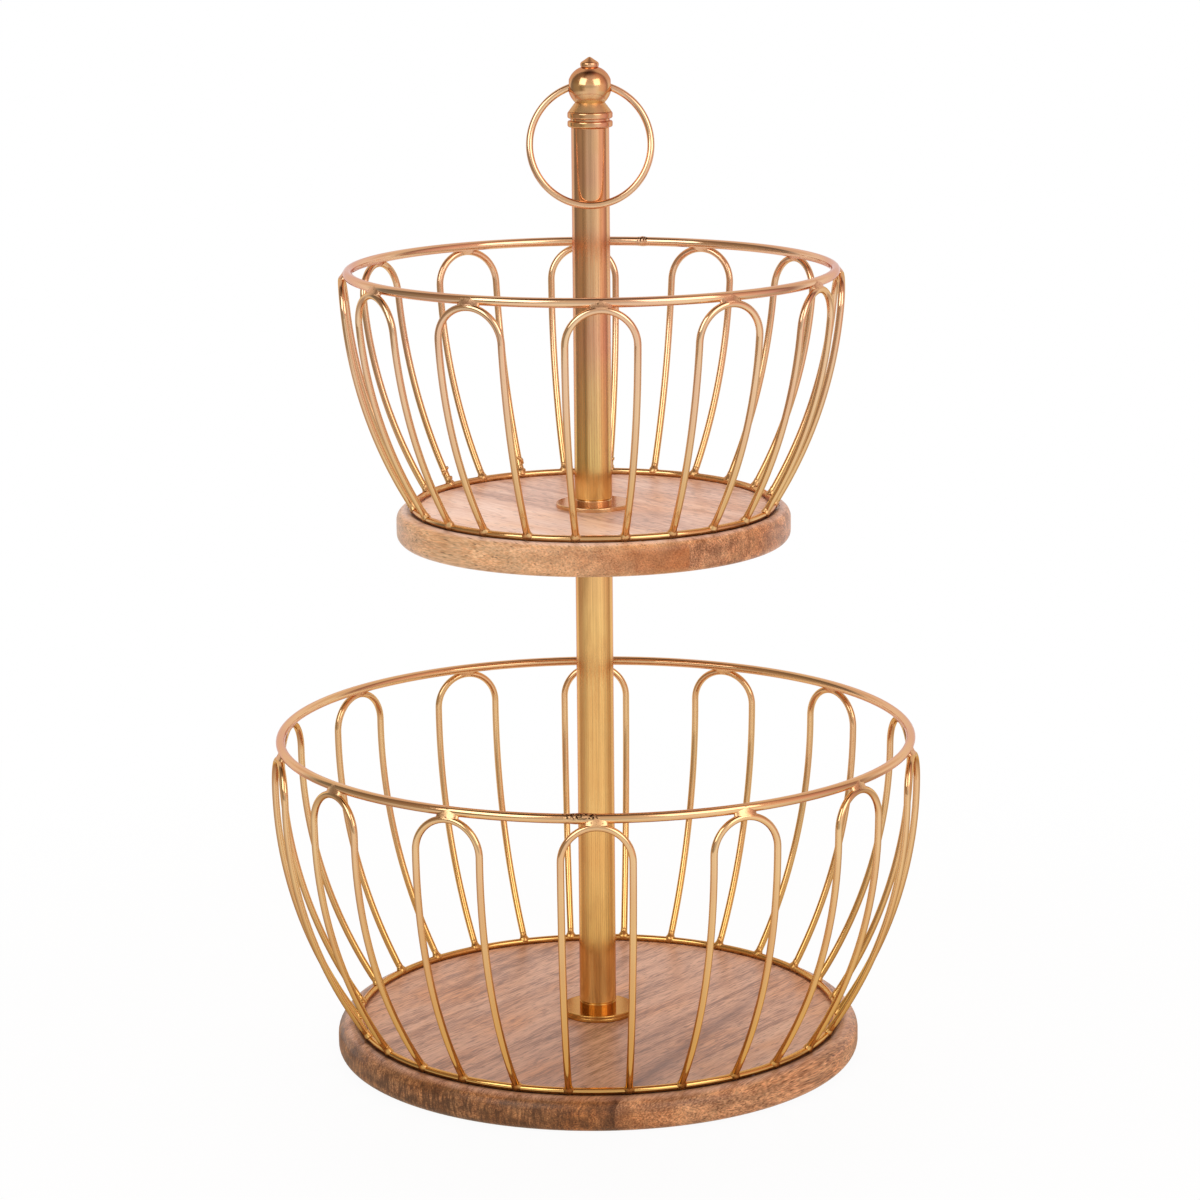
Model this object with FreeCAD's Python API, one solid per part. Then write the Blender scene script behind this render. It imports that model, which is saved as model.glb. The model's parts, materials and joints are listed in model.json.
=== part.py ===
import FreeCAD, Part
import math
import os

V = FreeCAD.Vector

# Driving sizes in mm. Z is up, the base stands on Z = 0 and -Y is the front.
tube_d = 16.0
tube_wall = 1.2
rod_d = 6.0
rim_wire_d = 4.0
hoop_wire_d = 3.0
handle_wire_d = 3.0

# Boards: glued wood discs with a well rounded top edge.
board_t = 14.0
base_r = 114.5
base_top_round = 6.0
upper_board_r = 84.5
upper_top_round = 4.5
bottom_round = 4.0
groove_depth = 0.5
groove_inside = 1.0
groove_outside = 1.1
pin_count = 3
pin_d = 2.0
pin_depth = 6.0

# Lower basket: hoops of round wire between a bottom ring and a rim.
lower_hoops = 14
lower_turn_angle = 0.0
lower_ring_inset = 9.5
lower_flare = 31.5
lower_basket_h = 127.0
lower_tuck_angle = 33.2
lower_arch_half = 14.5
lower_foot_half = 12.5
lower_lean_angle = 0.0
lower_pin_angle = 38.0

# Upper basket, made the same way with hoops that still lean outward at the top.
upper_hoops = 12
upper_turn_angle = 2.0
upper_ring_inset = 7.5
upper_flare = 26.0
upper_basket_h = 101.5
upper_tuck_angle = 43.2
upper_arch_half = 14.5
upper_foot_half = 10.0
upper_lean_angle = 5.5
upper_pin_angle = 14.0

# Welds: a tapered bead of weld metal under the rim, a lump at each hoop foot.
weld_gap = 0.15
rim_weld_half = 4.5
rim_weld_r = 1.8
rim_weld_end_r = 0.6
foot_weld_proud = 0.75
foot_sink = 0.6
foot_slope_angle = 28.0

# Post: washers, flanges, plugs and studs around the two tubes.
lower_tube_len = 205.7
upper_tube_len = 158.3
flange_lip = 8.0
lower_washer_t = 1.7
lower_plate_t = 1.3
lower_boss_h = 3.0
upper_plate_t = 1.8
upper_boss_h = 1.7
support_washer_t = 1.8
plug_len = 18.0
thread_hold = 15.0
edge_round = 0.4
base_washer_d = 20.0
base_washer_t = 1.5
bolt_head_across = 10.0
bolt_head_h = 3.6
bolt_recess = 0.9

# Finial: collar, grooved foot, cone, cross-bored ball and knob, from below upwards.
collar_lip = 1.5
collar_t = 2.7
spigot_len = 12.0
foot_groove_in = 1.25
foot_groove_h = 0.9
foot_ring_h = 2.8
cone_in = 0.4
cone_h = 3.8
neck_h = 0.4
ball_r = 9.2
ball_under_angle = 44.0
crown_inset = 0.9
knob_rise = 1.2
knob_r = 3.9
knob_waist_in = 0.25
knob_round = 1.2
knob_cap_angle = 56.0
bore_floor = 2.6

# Carrying ring: hangs in the ball's cross bore and leans on the tube in front.
handle_r = 25.4

# Clearances.
seat_gap = 0.02
rod_clear = 0.3
board_rod_clear = 0.5
counterbore_clear = 2.0
bore_clear = 0.33
lean_gap = 0.3
match_gap = 0.01

# Worked-out sizes.
tube_r = tube_d / 2
bore_r = tube_r - tube_wall
rod_r = rod_d / 2
rod_hole_r = rod_r + rod_clear
hoop_r = hoop_wire_d / 2
rim_r = rim_wire_d / 2
handle_wire_r = handle_wire_d / 2
flange_r = tube_r + flange_lip
collar_r = tube_r + collar_lip
foot_weld_r = hoop_r + foot_weld_proud
foot_short = hoop_r - foot_sink
ring_lift = hoop_r - groove_depth + seat_gap
counterbore_depth = base_washer_t + bolt_head_h + bolt_recess

# Worked-out heights, from the base up.
lower_flange_z = board_t + lower_washer_t
lower_tube_z = lower_flange_z + lower_plate_t + lower_boss_h
lower_tube_top = lower_tube_z + lower_tube_len
upper_board_z = lower_tube_top + support_washer_t
upper_board_top = upper_board_z + board_t
upper_tube_z = upper_board_top + upper_plate_t + upper_boss_h
collar_z = upper_tube_z + upper_tube_len
collar_top = collar_z + collar_t
foot_ring_z = collar_top + foot_groove_h
foot_ring_top = foot_ring_z + foot_ring_h
neck_z = foot_ring_top + cone_h
ball_z = neck_z + neck_h + ball_r * math.sin(math.radians(ball_under_angle))

# The carrying ring curves inside its bore, so the bore is wider than the wire.
handle_sag = handle_r - math.sqrt(handle_r ** 2 - ball_r ** 2)
cross_bore_r = handle_wire_r + handle_sag / 2 + bore_clear
handle_drop = handle_r - handle_sag / 2
handle_reach = tube_r + handle_wire_r + lean_gap
handle_lean = math.degrees(math.asin(handle_reach / (handle_drop + handle_r)))
finial_bore_top = ball_z - cross_bore_r - bore_floor

lower = {
    "hoops": lower_hoops,
    "turn_angle": lower_turn_angle,
    "board_top": board_t,
    "ring_r": base_r - lower_ring_inset,
    "rim_r": base_r - lower_ring_inset + lower_flare,
    "rim_z": board_t + lower_basket_h,
    "tuck_angle": lower_tuck_angle,
    "arch_half": lower_arch_half,
    "foot_half": lower_foot_half,
    "lean_angle": lower_lean_angle,
    "pin_angle": lower_pin_angle,
}
upper = {
    "hoops": upper_hoops,
    "turn_angle": upper_turn_angle,
    "board_top": upper_board_top,
    "ring_r": upper_board_r - upper_ring_inset,
    "rim_r": upper_board_r - upper_ring_inset + upper_flare,
    "rim_z": upper_board_top + upper_basket_h,
    "tuck_angle": upper_tuck_angle,
    "arch_half": upper_arch_half,
    "foot_half": upper_foot_half,
    "lean_angle": upper_lean_angle,
    "pin_angle": upper_pin_angle,
}


def cylinder(radius, z0, z1):
    """Upright cylinder on the axis."""
    return Part.makeCylinder(radius, z1 - z0, V(0, 0, z0))


def sleeve(outer_r, inner_r, z0, z1):
    """Upright tube on the axis."""
    return cylinder(outer_r, z0, z1).cut(cylinder(inner_r, z0, z1))


def soften(shape, size, places):
    """Round the circular edges that lie at the given (radius, height) places."""
    picked = []
    for edge in shape.Edges:
        if not isinstance(edge.Curve, Part.Circle):
            continue
        for radius, height in places:
            same_radius = abs(edge.Curve.Radius - radius) < match_gap
            if same_radius and abs(edge.Curve.Center.z - height) < match_gap:
                picked.append(edge)
    return shape.makeFillet(size, picked)


def turned(shape, azimuth):
    """Copy of a shape built at the front, turned to an azimuth (positive to the right)."""
    copy = shape.copy()
    copy.rotate(V(0, 0, 0), V(0, 0, 1), azimuth)
    return copy


def spread(count, first):
    """Azimuths of a number of equal steps round the axis."""
    return [first + i * 360.0 / count for i in range(count)]


def front_point(outward, sideways, height):
    """Point given by its distance towards the front, to the right and up."""
    return V(sideways, -outward, height)


def arc_wire(start, heading, end, radius):
    """Round wire on the one arc that leaves start along heading and reaches end."""
    chord = end - start
    along = chord.dot(heading)
    aside = chord - heading * along
    bend_r = chord.dot(chord) / (2 * aside.Length)
    sweep = math.degrees(2 * math.atan2(aside.Length, along))
    inward = V(aside).normalize()
    section = Part.Face(Part.Wire(Part.Circle(start, heading, radius).toShape()))
    return section.revolve(start + inward * bend_r, heading.cross(inward), sweep)


def ring_z(basket):
    """Height of the bottom ring's centre line."""
    return basket["board_top"] + ring_lift


def rim_torus(basket):
    return Part.makeTorus(basket["rim_r"], rim_r, V(0, 0, basket["rim_z"]))


def bottom_torus(basket):
    return Part.makeTorus(basket["ring_r"], hoop_r, V(0, 0, ring_z(basket)))


def below_rim(basket, distance):
    """Outward distance and height at a distance from the rim's centre, along the tuck angle."""
    tuck = math.radians(basket["tuck_angle"])
    return basket["rim_r"] + distance * math.sin(tuck), basket["rim_z"] - distance * math.cos(tuck)


def foot_point(basket, side):
    """Middle of a leg's lower end, a little above the bottom ring's centre line."""
    half = side * basket["foot_half"]
    outward = math.sqrt(basket["ring_r"] ** 2 - half ** 2)
    outward += foot_short * math.sin(math.radians(foot_slope_angle))
    height = ring_z(basket) + foot_short * math.cos(math.radians(foot_slope_angle))
    return front_point(outward, half, height)


def make_hoop(basket):
    """Front hoop: half-circle arch and two bowed legs, feet coped to the bottom ring."""
    lean = math.radians(basket["lean_angle"])
    upward = V(0, -math.sin(lean), math.cos(lean))
    out, high = below_rim(basket, rim_r + weld_gap + hoop_r)
    half = basket["arch_half"]
    spring_out = out - half * math.sin(lean)
    spring_z = high - half * math.cos(lean)
    right = front_point(spring_out, half, spring_z)
    left = front_point(spring_out, -half, spring_z)
    arch = arc_wire(right, upward, left, hoop_r)
    leg_right = arc_wire(right, -upward, foot_point(basket, 1), hoop_r)
    leg_left = arc_wire(left, -upward, foot_point(basket, -1), hoop_r)
    whole = arch.fuse([leg_right, leg_left]).cut(bottom_torus(basket))
    return whole.Solids[0]


def make_rim_weld(basket, hoop):
    """Bead of weld metal in the corner between the front hoop and the rim."""
    out, high = below_rim(basket, rim_r)
    middle = front_point(out, 0, high)
    halves = []
    for way in (1, -1):
        halves.append(Part.makeCone(rim_weld_r, rim_weld_end_r, rim_weld_half, middle, V(way, 0, 0)))
    bead = halves[0].fuse(halves[1])
    return bead.cut(rim_torus(basket)).cut(hoop).Solids


def make_foot_weld(basket, hoop, side):
    """Lump of weld metal around one foot of the front hoop, just clear of the board below."""
    lump = Part.makeSphere(foot_weld_r, foot_point(basket, side))
    board_level = basket["board_top"] + seat_gap
    lump = lump.cut(cylinder(2 * basket["ring_r"], board_level - 2 * foot_weld_r, board_level))
    return lump.cut(bottom_torus(basket)).cut(hoop).Solids


def pin_floor(basket):
    """Height of the bottom of the pin holes."""
    return basket["board_top"] - groove_depth - pin_depth


def make_pins(basket):
    """Locating pins under the bottom ring, their heads coped to the wire."""
    foot = front_point(basket["ring_r"], 0, pin_floor(basket))
    pin = Part.makeCylinder(pin_d / 2, ring_z(basket) - pin_floor(basket), foot)
    pin = pin.cut(bottom_torus(basket)).Solids[0]
    return [turned(pin, azimuth) for azimuth in spread(pin_count, basket["pin_angle"])]


def pin_holes(basket):
    """Drill holes that take the locating pins."""
    foot = front_point(basket["ring_r"], 0, pin_floor(basket))
    hole = Part.makeCylinder(pin_d / 2, basket["board_top"] - pin_floor(basket), foot)
    return [turned(hole, azimuth) for azimuth in spread(pin_count, basket["pin_angle"])]


def make_board(radius, z0, top_round, basket):
    """Wood disc with rounded edges, centre hole, ring groove and pin holes."""
    top = z0 + board_t
    disc = cylinder(radius, z0, top)
    disc = soften(disc, min(top_round, 0.55 * board_t), [(radius, top)])
    disc = soften(disc, min(bottom_round, 0.3 * board_t), [(radius, z0)])
    inner = basket["ring_r"] - hoop_r - groove_inside
    outer = basket["ring_r"] + hoop_r + groove_outside
    disc = disc.cut(sleeve(outer, inner, top - groove_depth, top + groove_depth))
    disc = disc.cut(cylinder(rod_r + board_rod_clear, z0, top))
    return disc.cut(Part.makeCompound(pin_holes(basket)))


def make_base_board():
    board = make_board(base_r, 0, base_top_round, lower)
    return board.cut(cylinder(base_washer_d / 2 + counterbore_clear, 0, counterbore_depth))


def make_upper_board():
    return make_board(upper_board_r, upper_board_z, upper_top_round, upper)


def make_washer(radius, z0, thickness):
    washer = sleeve(radius, rod_hole_r, z0, z0 + thickness)
    return soften(washer, edge_round, [(radius, z0), (radius, z0 + thickness)])


def make_flange(z0, plate_t, boss_h):
    """Thin round plate with a short boss that carries the tube end."""
    plate_top = z0 + plate_t
    top = plate_top + boss_h
    whole = cylinder(flange_r, z0, plate_top).fuse(cylinder(tube_r, plate_top, top))
    whole = whole.removeSplitter().cut(cylinder(rod_hole_r, z0, top)).Solids[0]
    return soften(whole, edge_round, [(flange_r, plate_top), (tube_r, top)])


def make_tube(z0, z1):
    tube = sleeve(tube_r, bore_r, z0, z1)
    return soften(tube, edge_round, [(tube_r, z0), (tube_r, z1)])


def make_plug(z0, z1):
    """Threaded plug held in a tube end."""
    return sleeve(bore_r, rod_r, z0, z1)


def make_base_bolt():
    head_r = bolt_head_across / 2 / math.cos(math.radians(30))
    corners = []
    for i in range(7):
        angle = math.radians(60 * i)
        corners.append(V(head_r * math.cos(angle), head_r * math.sin(angle), bolt_recess))
    head = Part.Face(Part.makePolygon(corners)).extrude(V(0, 0, bolt_head_h))
    shank = cylinder(rod_r, bolt_recess + bolt_head_h, lower_tube_z + thread_hold)
    return head.fuse(shank).removeSplitter().Solids[0]


def make_tube_collar():
    """Band that caps the upper tube, with a spigot down into it."""
    band = cylinder(collar_r, collar_z, collar_top)
    spigot = cylinder(bore_r, collar_z - spigot_len, collar_z)
    whole = band.fuse(spigot).removeSplitter().Solids[0]
    whole = soften(whole, band_round(collar_t), [(collar_r, collar_z), (collar_r, collar_top)])
    return whole.cut(cylinder(rod_r, collar_z - spigot_len, collar_top)).Solids[0]


def band_round(height):
    """Edge rounding of a turned band, limited by its height."""
    return min(2 * edge_round, 0.4 * height)


def side_arc(centre, radius, angle0, angle1):
    """Arc in the XZ plane between two angles above the horizontal."""
    points = []
    for angle in (angle0, (angle0 + angle1) / 2, angle1):
        turn = math.radians(angle)
        points.append(centre + V(math.cos(turn), 0, math.sin(turn)) * radius)
    return Part.Arc(points[0], points[1], points[2]).toShape()


def foot_arcs():
    """Rounded foot ring and the cone that rises from it to the neck."""
    corner = band_round(foot_ring_h)
    under = math.radians(ball_under_angle)
    neck = V(ball_r * math.cos(under) - neck_h * math.tan(under), 0, neck_z)
    return [
        side_arc(V(collar_r - corner, 0, foot_ring_z + corner), corner, -90, 0),
        side_arc(V(collar_r - corner, 0, foot_ring_top - corner), corner, 0, 90),
        Part.makeLine(V(collar_r - cone_in, 0, foot_ring_top), neck),
    ]


def ball_arcs():
    """Ball above the neck, its slightly flatter crown and the coned knob that ends the finial."""
    waist_r = knob_r - knob_waist_in
    crown_r = ball_r - crown_inset
    crown_angle = math.degrees(math.acos((waist_r - crown_inset) / crown_r))
    knob_z = ball_z + crown_r * math.sin(math.radians(crown_angle)) + knob_rise
    waist_bend = (knob_waist_in ** 2 + knob_rise ** 2) / (2 * knob_waist_in)
    waist_angle = math.degrees(math.asin(knob_rise / waist_bend))
    shoulder_in = knob_r - knob_round
    tip_z = knob_z + shoulder_in / math.tan(math.radians(knob_cap_angle))
    return [
        side_arc(V(0, 0, ball_z), ball_r, -ball_under_angle, 0),
        side_arc(V(crown_inset, 0, ball_z), crown_r, 0, crown_angle),
        side_arc(V(knob_r - waist_bend, 0, knob_z), waist_bend, -waist_angle, 0),
        side_arc(V(shoulder_in, 0, knob_z), knob_round, 0, knob_cap_angle),
        side_arc(V(0, 0, tip_z), knob_round, knob_cap_angle, 90),
    ]


def make_finial():
    """Turned finial: grooved foot, cone, ball with a cross bore, knob."""
    groove_r = collar_r - foot_groove_in
    corners = [V(0, 0, collar_top), V(groove_r, 0, collar_top), V(groove_r, 0, foot_ring_z)]
    edges = [Part.makeLine(corners[0], corners[1]), Part.makeLine(corners[1], corners[2])]
    last = corners[2]
    for edge in foot_arcs() + ball_arcs():
        first = edge.valueAt(edge.FirstParameter)
        if (first - last).Length > match_gap:
            edges.append(Part.makeLine(last, first))
        edges.append(edge)
        last = edge.valueAt(edge.LastParameter)
    edges.append(Part.makeLine(last, corners[0]))
    body = Part.Face(Part.Wire(edges)).revolve(V(0, 0, 0), V(0, 0, 1), 360)
    body = body.cut(cylinder(rod_r, collar_top, finial_bore_top))
    bore = Part.makeCylinder(cross_bore_r, 4 * ball_r, V(-2 * ball_r, 0, ball_z), V(1, 0, 0))
    return body.cut(bore).Solids[0]


def make_handle_ring():
    """Wire ring through the cross bore, leaning forward on the tube."""
    ring = Part.makeTorus(handle_r, handle_wire_r, V(0, 0, ball_z - handle_drop), V(0, 1, 0))
    ring.rotate(V(0, 0, ball_z), V(1, 0, 0), -handle_lean)
    return ring


def add_basket(parts, name, basket):
    """Add a basket's rings, hoops, welds and pins to the parts."""
    hoop = make_hoop(basket)
    rim_weld = make_rim_weld(basket, hoop)
    foot_welds = make_foot_weld(basket, hoop, 1) + make_foot_weld(basket, hoop, -1)
    azimuths = spread(basket["hoops"], basket["turn_angle"])
    parts[name + "_rim"] = rim_torus(basket)
    parts[name + "_ring"] = bottom_torus(basket)
    for i, azimuth in enumerate(azimuths):
        parts["%s_hoop_%02d" % (name, i + 1)] = turned(hoop, azimuth)
    rim_beads = [turned(bead, azimuth) for azimuth in azimuths for bead in rim_weld]
    foot_beads = [turned(bead, azimuth) for azimuth in azimuths for bead in foot_welds]
    parts[name + "_rim_welds"] = Part.makeCompound(rim_beads)
    parts[name + "_foot_welds"] = Part.makeCompound(foot_beads)
    parts[name + "_pins"] = Part.makeCompound(make_pins(basket))


def add_post(parts):
    """Add the tubes, their hidden fastenings, the finial and the carrying ring."""
    parts["base_washer"] = make_washer(base_washer_d / 2, bolt_recess + bolt_head_h, base_washer_t)
    parts["base_bolt"] = make_base_bolt()
    parts["lower_washer"] = make_washer(flange_r, board_t, lower_washer_t)
    parts["lower_flange"] = make_flange(lower_flange_z, lower_plate_t, lower_boss_h)
    parts["lower_tube"] = make_tube(lower_tube_z, lower_tube_top)
    parts["lower_foot_plug"] = make_plug(lower_tube_z, lower_tube_z + plug_len)
    parts["lower_head_plug"] = make_plug(lower_tube_top - plug_len, lower_tube_top)
    parts["support_washer"] = make_washer(flange_r, lower_tube_top, support_washer_t)
    parts["upper_flange"] = make_flange(upper_board_top, upper_plate_t, upper_boss_h)
    parts["joining_stud"] = cylinder(rod_r, lower_tube_top - thread_hold, upper_tube_z + thread_hold)
    parts["upper_tube"] = make_tube(upper_tube_z, collar_z)
    parts["upper_foot_plug"] = make_plug(upper_tube_z, upper_tube_z + plug_len)
    parts["tube_collar"] = make_tube_collar()
    parts["finial_stud"] = cylinder(rod_r, collar_z - spigot_len, finial_bore_top)
    parts["finial"] = make_finial()
    parts["handle_ring"] = make_handle_ring()


def make_parts():
    parts = {"base_board": make_base_board(), "upper_board": make_upper_board()}
    add_basket(parts, "lower", lower)
    add_basket(parts, "upper", upper)
    add_post(parts)
    return parts


os.makedirs("parts", exist_ok=True)
for part_name, part_shape in make_parts().items():
    part_shape.exportStep("parts/" + part_name + ".step")
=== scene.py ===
import json
import math
import random

import bmesh
import bpy
from mathutils import Matrix, Vector, noise


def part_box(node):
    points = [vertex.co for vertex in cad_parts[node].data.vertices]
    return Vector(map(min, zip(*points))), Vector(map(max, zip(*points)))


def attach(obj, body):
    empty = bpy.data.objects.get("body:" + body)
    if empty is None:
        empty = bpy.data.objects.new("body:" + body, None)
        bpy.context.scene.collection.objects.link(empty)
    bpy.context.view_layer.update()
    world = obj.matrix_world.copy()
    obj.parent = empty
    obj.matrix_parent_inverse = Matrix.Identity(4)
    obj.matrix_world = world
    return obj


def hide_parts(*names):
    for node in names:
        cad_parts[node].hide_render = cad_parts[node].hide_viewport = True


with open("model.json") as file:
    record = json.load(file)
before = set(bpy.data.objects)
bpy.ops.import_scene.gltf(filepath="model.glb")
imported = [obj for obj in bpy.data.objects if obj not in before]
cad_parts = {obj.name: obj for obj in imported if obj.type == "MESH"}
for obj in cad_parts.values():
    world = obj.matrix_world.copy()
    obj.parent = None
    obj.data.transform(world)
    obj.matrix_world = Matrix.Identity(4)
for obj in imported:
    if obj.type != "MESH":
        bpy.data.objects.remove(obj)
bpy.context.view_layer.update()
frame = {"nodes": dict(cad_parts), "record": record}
nodes = frame["nodes"]

MM = 0.001
WHITE = (1.0, 1.0, 1.0, 1.0)

# Boards: each is glued from two planks. The grain is turned from +X in degrees. The seam and the streak lie
# so many mm across the grain, and the near plank is the one before the seam. Woods run from dark to light.
BASE_BOARD = {
    "grain_angle": 53.0, "seam_mm": -74.0, "gold": "#FFE2B4", "seed": 20.0, "ring": "lower_ring",
    "streak": {"middle_mm": -56.4, "lean": 0.19, "half_mm": 7.0, "end_mm": 70.0},
    "near": {"wood": ("#A4785D", "#C69C80", "#DAB394"), "edge": "#FEF1D6", "soak": 0.3, "pores": 0.03,
             "rim_pores": 0.075, "blotch": 0.78, "ends": 0.1, "mottle": 0.3},
    "far": {"wood": ("#88614B", "#BE9277", "#DAAF91"), "edge": "#DECCA6", "soak": 0.8, "pores": 0.0,
            "rim_pores": 0.06, "blotch": 0.62, "ends": 0.0, "mottle": 0.32},
}
UPPER_BOARD = {
    "grain_angle": -48.0, "seam_mm": -21.0, "gold": "#FFE6BE", "seed": 75.0, "ring": "upper_ring",
    "streak": None,
    "near": {"wood": ("#D6AB92", "#EBC8B2", "#F5D9C8"), "edge": "#F8ECCA", "soak": 0.1, "pores": 0.0,
             "rim_pores": 0.07, "blotch": 0.92, "ends": 1.1, "mottle": 0.17},
    "far": {"wood": ("#AF846E", "#D6AC96", "#EACAB6"), "edge": "#F6E2BE", "soak": 0.25, "pores": 0.085,
            "rim_pores": 0.02, "blotch": 0.8, "ends": 0.25, "mottle": 0.3},
}

# Figure of the wood: sizes in mm along the grain, across it and upwards.
BAND_MM = (110.0, 7.0, 7.0)
FIBRE_MM = (8.0, 0.55, 0.55)
CLOUD_MM = (58.0, 26.0, 26.0)
PORE_MM = (6.5, 1.0, 1.0)
MOTTLE_MM = (6.0, 0.6, 0.6)
BLOTCH_MM = (26.0, 9.0, 5.0)
STROKE_MM = (3.0, 1.2, 7.0)
NEAR_PLANK_JUMP = (137.0, 61.0, 43.0)
BAND_SHARE = 0.4
STREAK_FADE_MM = 40.0
STREAK_TINT = "#AA9EA2"
PORE_BROWN = "#5C3D2C"
END_GRAIN_TINT = "#C6A184"
SOAKED_BROWN = "#4E321C"
# Colour of the painted shadow that the wire ring casts on a board's top.
RING_SHADOW_BROWN = "#2E1A0E"
# The painted shadow of the wire ring on a board starts and ends so many wire radii outside the ring's centre
# line.
RING_SHADOW_FROM = 0.6
RING_SHADOW_TO = 3.4

# Brass: tones that polished and lacquered plate take where they are seen edge on, and sizes of its patterns
# in mm.
EDGE_ROSE = "#E6C9C6"
EDGE_DEEP = "#D8BA8C"
EDGE_FINIAL = "#D6B0A6"
WIRE_PATCH_MM = 34.0
WIRE_GRAIN_MM = (2.5, 2.5, 2.5)
WELD_PATCH_MM = 3.0
SPECK_MM = (0.8, 0.8, 0.8)
TUBE_PATCH_MM = 26.0
BRUSH_MM = (0.6, 0.6, 60.0)
SMEAR_MM = (3.0, 3.0, 16.0)
TURNED_PATCH_MM = 9.0
LATHE_MM = (12.0, 12.0, 0.5)
BURNT_BROWN = "#3F2718"
WORN_BRASS = "#C08F58"
# Paler tone of the finial's neck: a painted reflection of the soft boxes.
NECK_PAINTED_REFLECTION = "#ECCA98"
# Heights in mm between which the plate turns from the lower tone to the upper one.
WIRE_TURNS = (40.0, 260.0)
TUBE_TURNS = (190.0, 300.0)
# Heights in mm above a board between which the painted shade in the foot's tone fades out.
WIRE_FOOT_SHADE = (4.0, 75.0)
TUBE_FOOT_SHADE = (6.0, 72.0)
# Rings that the lathe left on the lower tube, in mm.
LATHE_RINGS_ABOVE_FOOT = 14.0
LATHE_RINGS_HALF = 3.5
LATHE_RINGS_PITCH = 1.1
# Hollow under the finial's ball, in mm below the finial's top.
HOLLOW_FROM = 22.5
HOLLOW_TO = 17.4
# Nodes whose finish differs from that of their slot.
RIMS = ("lower_rim", "lower_ring", "upper_rim", "upper_ring")
LOWER_PLATES = ("lower_flange", "lower_washer")
UPPER_PLATES = ("upper_flange", "support_washer")

# Zinc: size of the crystals in mm.
SPANGLE_MM = (1.2, 1.2, 1.2)

# Hoops: how many each basket has, and the slices in mm of a hoop's mesh that give its top, feet and lean.
LOWER_HOOPS = 14
UPPER_HOOPS = 12
TOP_SLICE = 0.1
FOOT_SLICE = 1.5
LEAN_SLICE = (4.0, 40.0)
ARCH_BEND_MM = 14.5

# Foot welds: sizes in mm, heights along the leg are counted from the bottom ring's centre line. The spread is
# along the ring, the inner radius is a share of the wire's, and the tip keeps the bottom from closing.
FOOT_WELD_PROUD = 0.5
FOOT_WELD_RISE = 4.2
FOOT_WELD_SINK = 1.1
FOOT_WELD_FLAT = 0.8
FOOT_WELD_FADE = 1.4
FOOT_WELD_SPREAD = 1.3
FOOT_WELD_INNER = 0.96
FOOT_WELD_TIP = 0.02
FOOT_WELD_STEPS = 11
FOOT_WELD_SIDES = 18

# Rim welds: shares of the way from the rim's centre line to the arch's, and how flush the fillet is there.
RIM_WELD_PROFILE = ((-0.14, 0.88), (0.0, 1.02), (0.2, 1.0), (0.4, 0.97), (0.6, 0.97), (0.8, 1.0), (1.0, 1.04),
                    (1.16, 0.88))
RIM_WELD_HALF = 5.0
RIM_WELD_TIP = 0.12
RIM_WELD_STEPS = 24

# Butt welds of the rims: azimuth 0 is the front, positive to the right; sizes in mm. The inner radius is a
# share of the wire's, and a higher peak makes a shorter swelling.
BUTT_WELD_PROUD = 0.3
BUTT_WELD_INNER = 0.985
BUTT_WELD_PEAK = 1.6
BUTT_WELD_STEPS = 28
BUTT_WELD_SIDES = 20
UPPER_BUTT_AZIMUTH = 167.0
UPPER_BUTT_HALF = 2.6
LOWER_BUTT_AZIMUTH = -2.6
LOWER_BUTT_HALF = 7.5
SCORCHED = 0.17

# Spatter: drops on a leg of three back hoops, sizes in mm. The seat is a share of the wire's radius.
SPATTER_HOOPS = ("upper_hoop_07", "upper_hoop_08", "upper_hoop_09")
SPATTER_FROM = 1.0
SPATTER_RISE = 9.0
SPATTER_COUNT = 9
SPATTER_SIZE = (0.5, 1.0)
SPATTER_SEAT = 0.85
SPATTER_SEED = 7

# Unevenness of the weld metal: size of the bumps in mm and their share of the radius.
FOOT_BUMPS = (1.6, 0.16)
RIM_BUMPS = (2.5, 0.04)
BUTT_BUMPS = (1.5, 0.05)
DROP_BUMPS = (0.7, 0.3)

# Camera of the photograph, in metres and degrees; the frame is square.
CAMERA_BACK = 1.541
CAMERA_HIGH = 0.5384
CAMERA_DOWN = 12.38
CAMERA_RIGHT = 0.09
CAMERA_ROLL = 0.5
LENS_MM = 109.8
SENSOR_MM = 36.0

# Studio: a round white floor, two soft boxes beside the camera and one above, in metres, degrees and watts.
FLOOR_RADIUS = 1.05
FLOOR_WHITE = 0.86
FLOOR_SIDES = 128
FLOOR_BELOW = 0.0002
FLOOR_FADE = (0.15, 0.6)
AIM_HEIGHT = 0.22
SOFT_BOXES = (
    {"name": "soft_box_left", "azimuth": -41, "height": 1.45, "distance": 1.9, "width": 1.3, "tall": 1.4,
     "power": 14.2, "colour": "#FFFFFF", "mirrored": True},
    {"name": "soft_box_right", "azimuth": 42, "height": 1.3, "distance": 1.9, "width": 1.3, "tall": 1.3,
     "power": 10.4, "colour": "#FFF8F4", "mirrored": True},
    {"name": "soft_box_top", "azimuth": 180, "height": 1.9, "distance": 0.8, "width": 1.2, "tall": 1.0,
     "power": 19.0, "colour": "#FFFFFF", "mirrored": False},
)

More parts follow.
